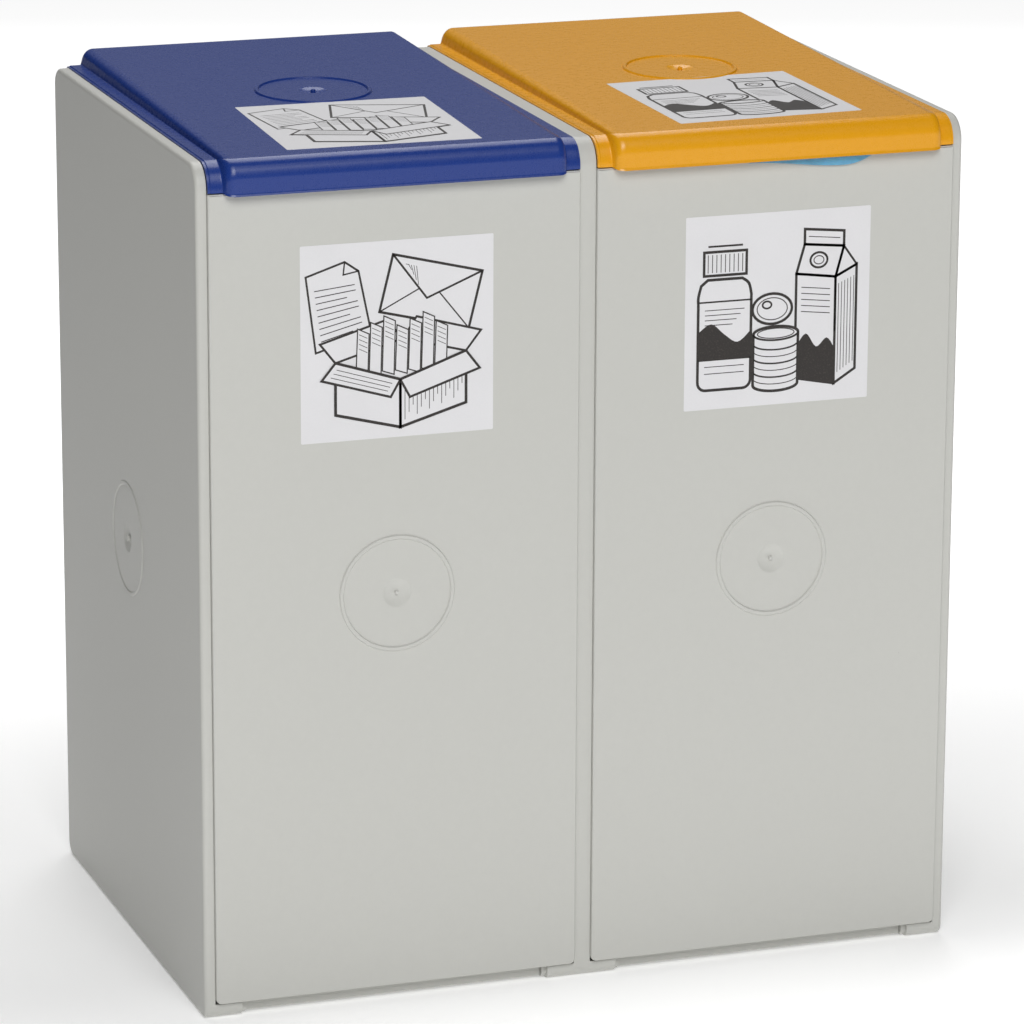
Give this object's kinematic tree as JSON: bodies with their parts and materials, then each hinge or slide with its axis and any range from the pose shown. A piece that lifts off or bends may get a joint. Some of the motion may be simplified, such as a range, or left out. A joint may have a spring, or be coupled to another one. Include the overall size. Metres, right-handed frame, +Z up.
{
  "type": "double recycling bin",
  "caption": "Free-standing double recycling bin: two compartments between moulded walls, closed front panels, and separately hinged crowned lids in blue and yellow.",
  "frame": {"origin": "middle of the footprint on the floor, half way across the walls and between the lid skirts and the back edges", "axes": "+Z up; +X to the right as seen from the front; the front panels face -Y and the lids hinge at +Y"},
  "size_m": [0.5676, 0.3954, 0.6297],
  "materials": {
    "body_grey": "light grey injection-moulded plastic with a fine satin grain",
    "panel_grey": "light grey injection-moulded plastic with a fine satin grain",
    "lid_blue": "royal blue moulded plastic, semi-gloss with a fine grain",
    "lid_yellow": "amber yellow moulded plastic, semi-gloss with a fine grain",
    "frame_dark": "dark grey moulded plastic",
    "liner_film": "light blue thin film, slightly creased",
    "steel": "zinc-plated steel"
  },
  "bodies": {
    "root": {"side_wall_left": "body_grey", "side_wall_right": "body_grey", "centre_partition": "body_grey", "floor_tray_left": "body_grey", "floor_tray_right": "body_grey", "front_panel_left": "panel_grey", "front_panel_right": "panel_grey", "back_panel_left": "panel_grey", "back_panel_right": "panel_grey", "hinge_rail_left": "body_grey", "hinge_rail_right": "body_grey", "hinge_rod_left": "steel", "hinge_rod_right": "steel", "bag_frame_left": "frame_dark", "bag_frame_right": "frame_dark", "liner_bag_right": "liner_film", "rail_screw_left_a": "steel", "rail_screw_left_b": "steel", "rail_screw_right_a": "steel", "rail_screw_right_b": "steel", "floor_screw_left_a_front": "steel", "floor_screw_left_a_back": "steel", "floor_screw_left_b_front": "steel", "floor_screw_left_b_back": "steel", "floor_screw_right_a_front": "steel", "floor_screw_right_a_back": "steel", "floor_screw_right_b_front": "steel", "floor_screw_right_b_back": "steel"},
    "lid_left": {"lid_left": "lid_blue"},
    "lid_right": {"lid_right": "lid_yellow"}
  },
  "joints": [
    {"name": "lid_left_hinge", "type": "hinge", "parent": "root", "child": "lid_left", "pos_m": [-0.1407, 0.18165, 0.604], "axis": [-1, 0, 0], "range_deg": [0, 100]},
    {"name": "lid_right_hinge", "type": "hinge", "parent": "root", "child": "lid_right", "pos_m": [0.1407, 0.18165, 0.604], "axis": [-1, 0, 0], "range_deg": [0, 100]}
  ]
}
